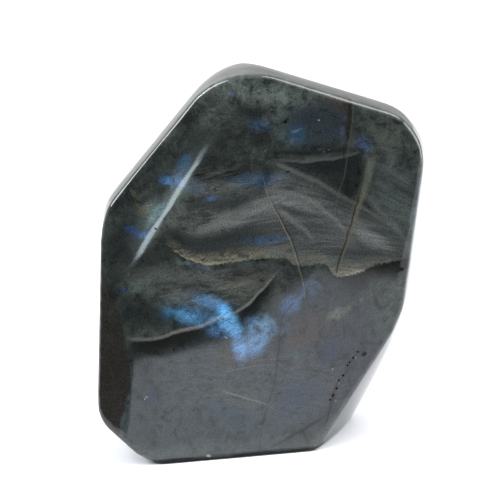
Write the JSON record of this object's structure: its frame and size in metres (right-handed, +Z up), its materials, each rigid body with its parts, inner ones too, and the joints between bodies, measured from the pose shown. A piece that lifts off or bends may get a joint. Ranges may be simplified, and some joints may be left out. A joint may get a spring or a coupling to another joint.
{
  "type": "labradorite freeform",
  "caption": "Polished freeform slab of dark labradorite that stands on a flat cut foot, with soft facets, rolled corners and blue flashes.",
  "frame": {"origin": "on the standing plane, under the middle of the stone's box", "axes": "+Z up from the flat cut foot, -Y out of the show face, +X to the right as the show face is looked at"},
  "size_m": [0.1102, 0.045, 0.1184],
  "materials": {
    "stone": "polished"
  },
  "bodies": {
    "root": {"labradorite_stone": "stone"}
  },
  "joints": []
}
